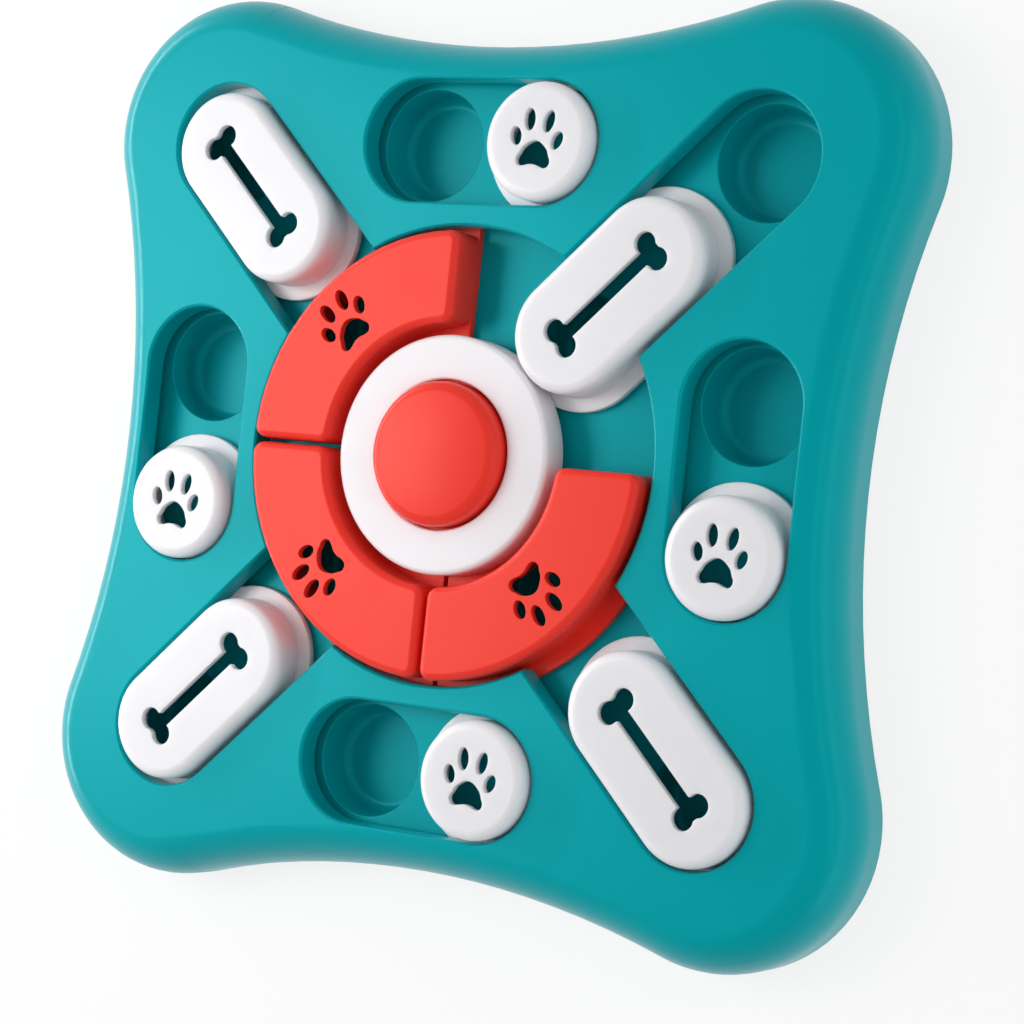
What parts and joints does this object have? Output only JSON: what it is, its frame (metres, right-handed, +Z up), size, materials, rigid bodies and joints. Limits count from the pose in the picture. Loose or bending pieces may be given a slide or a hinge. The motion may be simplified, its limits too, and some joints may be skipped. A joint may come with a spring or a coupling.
{
  "type": "dog puzzle feeder",
  "caption": "Four-lobed treat puzzle tray with sliding and turning covers over food cups and a squeaking centre button.",
  "frame": {"origin": "centre of the tray's footprint, on the surface that the feet stand on", "axes": "+Z up through the button; +X towards the right slot and +Y towards the back slot, with the open quarter of the turning covers between +X and +Y"},
  "size_m": [0.27, 0.27, 0.035],
  "materials": {
    "teal_plastic": "satin moulded plastic",
    "white_plastic": "satin moulded plastic",
    "red_plastic": "satin moulded plastic",
    "squeaker_vinyl": "soft translucent vinyl",
    "squeaker_plug": "moulded",
    "foot_rubber": "soft rubber",
    "screw_steel": "zinc plated"
  },
  "bodies": {
    "tray": {"top_shell": "teal_plastic", "base_tray": "teal_plastic", "hub_ring": "white_plastic", "squeaker_bellows": "squeaker_vinyl", "squeaker_reed": "squeaker_plug", "foot_right_back": "foot_rubber", "foot_left_back": "foot_rubber", "foot_left_front": "foot_rubber", "foot_right_front": "foot_rubber", "shell_screws": "screw_steel", "hub_screws": "screw_steel"},
    "button_body": {"button": "red_plastic"},
    "turning_cover_1_body": {"turning_cover_1": "red_plastic"},
    "turning_cover_2_body": {"turning_cover_2": "red_plastic"},
    "turning_cover_3_body": {"turning_cover_3": "red_plastic"},
    "paw_slider_back_body": {"paw_slider_back": "white_plastic"},
    "paw_slider_left_body": {"paw_slider_left": "white_plastic"},
    "paw_slider_front_body": {"paw_slider_front": "white_plastic"},
    "paw_slider_right_body": {"paw_slider_right": "white_plastic"},
    "bone_slider_right_back_body": {"bone_slider_right_back": "white_plastic"},
    "bone_slider_left_back_body": {"bone_slider_left_back": "white_plastic"},
    "bone_slider_left_front_body": {"bone_slider_left_front": "white_plastic"},
    "bone_slider_right_front_body": {"bone_slider_right_front": "white_plastic"}
  },
  "joints": [
    {"name": "paw_slide_back", "type": "slide", "parent": "tray", "child": "paw_slider_back_body", "axis": [-1, 0, 0], "range_m": [0, 0.0422]},
    {"name": "paw_slide_left", "type": "slide", "parent": "tray", "child": "paw_slider_left_body", "axis": [0, 1, 0], "range_m": [0, 0.0422]},
    {"name": "paw_slide_front", "type": "slide", "parent": "tray", "child": "paw_slider_front_body", "axis": [-1, 0, 0], "range_m": [0, 0.0422]},
    {"name": "paw_slide_right", "type": "slide", "parent": "tray", "child": "paw_slider_right_body", "axis": [0, 1, 0], "range_m": [0, 0.0422]},
    {"name": "bone_slide_right_back", "type": "slide", "parent": "tray", "child": "bone_slider_right_back_body", "axis": [0.7071, 0.7071, 0], "range_m": [0, 0.0419]},
    {"name": "bone_slide_left_back", "type": "slide", "parent": "tray", "child": "bone_slider_left_back_body", "axis": [-0.7071, 0.7071, 0], "range_m": [0, 0.0036]},
    {"name": "bone_slide_left_front", "type": "slide", "parent": "tray", "child": "bone_slider_left_front_body", "axis": [-0.7071, -0.7071, 0], "range_m": [-0.0018, 0.0018]},
    {"name": "bone_slide_right_front", "type": "slide", "parent": "tray", "child": "bone_slider_right_front_body", "axis": [0.7071, -0.7071, 0], "range_m": [-0.0032, 0.0004]},
    {"name": "cover_turn_1", "type": "hinge", "parent": "tray", "child": "turning_cover_1_body", "pos_m": [0, 0, 0.0168], "axis": [0, 0, 1], "range_deg": [-19, 0]},
    {"name": "cover_turn_2", "type": "hinge", "parent": "tray", "child": "turning_cover_2_body", "pos_m": [0, 0, 0.0168], "axis": [0, 0, 1], "range_deg": [-19, 0]},
    {"name": "cover_turn_3", "type": "hinge", "parent": "tray", "child": "turning_cover_3_body", "pos_m": [0, 0, 0.0168], "axis": [0, 0, 1], "range_deg": [0, 19]},
    {"name": "button_press", "type": "slide", "parent": "tray", "child": "button_body", "axis": [0, 0, 1], "range_m": [-0.004, 0], "stiffness_N_per_m": 400, "springref_m": 0.002, "deforming": ["squeaker_bellows"]}
  ],
  "couplings": [
    {"joint": "cover_turn_2", "follows": "cover_turn_1", "ratio": 1}
  ]
}
